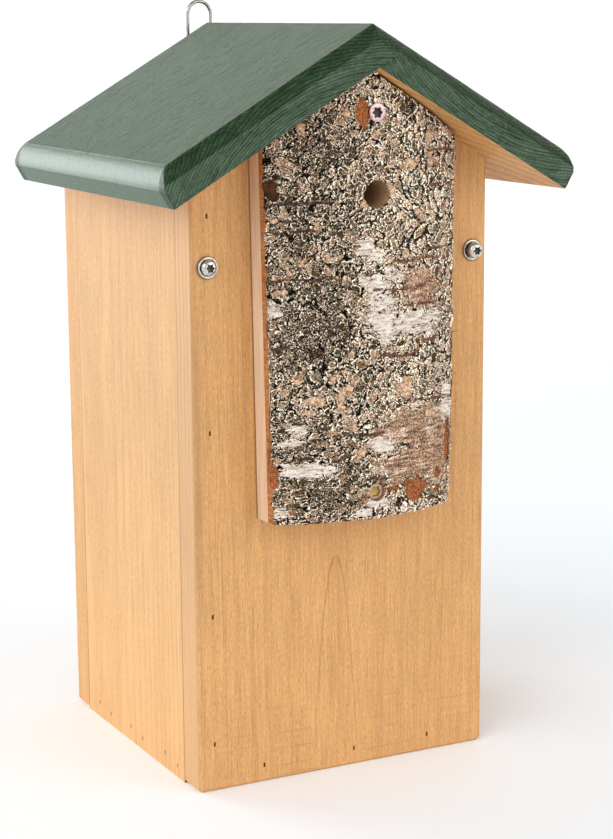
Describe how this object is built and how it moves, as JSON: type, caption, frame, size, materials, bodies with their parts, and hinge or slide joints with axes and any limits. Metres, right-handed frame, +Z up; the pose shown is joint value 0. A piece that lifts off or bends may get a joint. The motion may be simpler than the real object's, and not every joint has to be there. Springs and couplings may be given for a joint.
{
  "type": "woodpecker nest box",
  "caption": "Square wooden nest box under a lapped gable roof, with a bark-faced log slab and starter hole on the front, a side that swings out for cleaning, and a wire hanging loop.",
  "frame": {"origin": "centre of the box's underside, on the ground", "axes": "+Z up, the front with the bark slab looks to -Y, +X to the right seen from the front"},
  "size_m": [0.2256, 0.2108, 0.3965],
  "materials": {
    "box_wood": "oiled softwood",
    "roof_paint": "satin green paint",
    "birch_wood": "sawn",
    "birch_bark": "rough bark",
    "screw_steel": "bright",
    "brad_steel": "dull",
    "loop_steel": "bright zinc"
  },
  "bodies": {
    "box": {"front_panel": "box_wood", "back_panel": "box_wood", "left_side": "box_wood", "floor_board": "box_wood", "roof_left": "roof_paint", "roof_right": "roof_paint", "slab_wood": "birch_wood", "slab_bark": "birch_bark", "slab_screws": "screw_steel", "pivot_washers": "screw_steel", "side_screws": "screw_steel", "side_washers": "screw_steel", "front_side_brads": "brad_steel", "front_floor_brads": "brad_steel", "left_floor_brads": "brad_steel", "back_side_brads": "brad_steel", "back_floor_brads": "brad_steel", "roof_left_brads": "brad_steel", "roof_right_brads": "brad_steel", "hanging_loop": "loop_steel", "loop_screws": "screw_steel"},
    "side_door": {"right_side_door": "box_wood", "pivot_screws": "screw_steel"}
  },
  "joints": [
    {"name": "side_door_swing", "type": "hinge", "parent": "box", "child": "side_door", "pos_m": [0.0755, 0, 0.268], "axis": [0, -1, 0], "range_deg": [0, 120]}
  ]
}
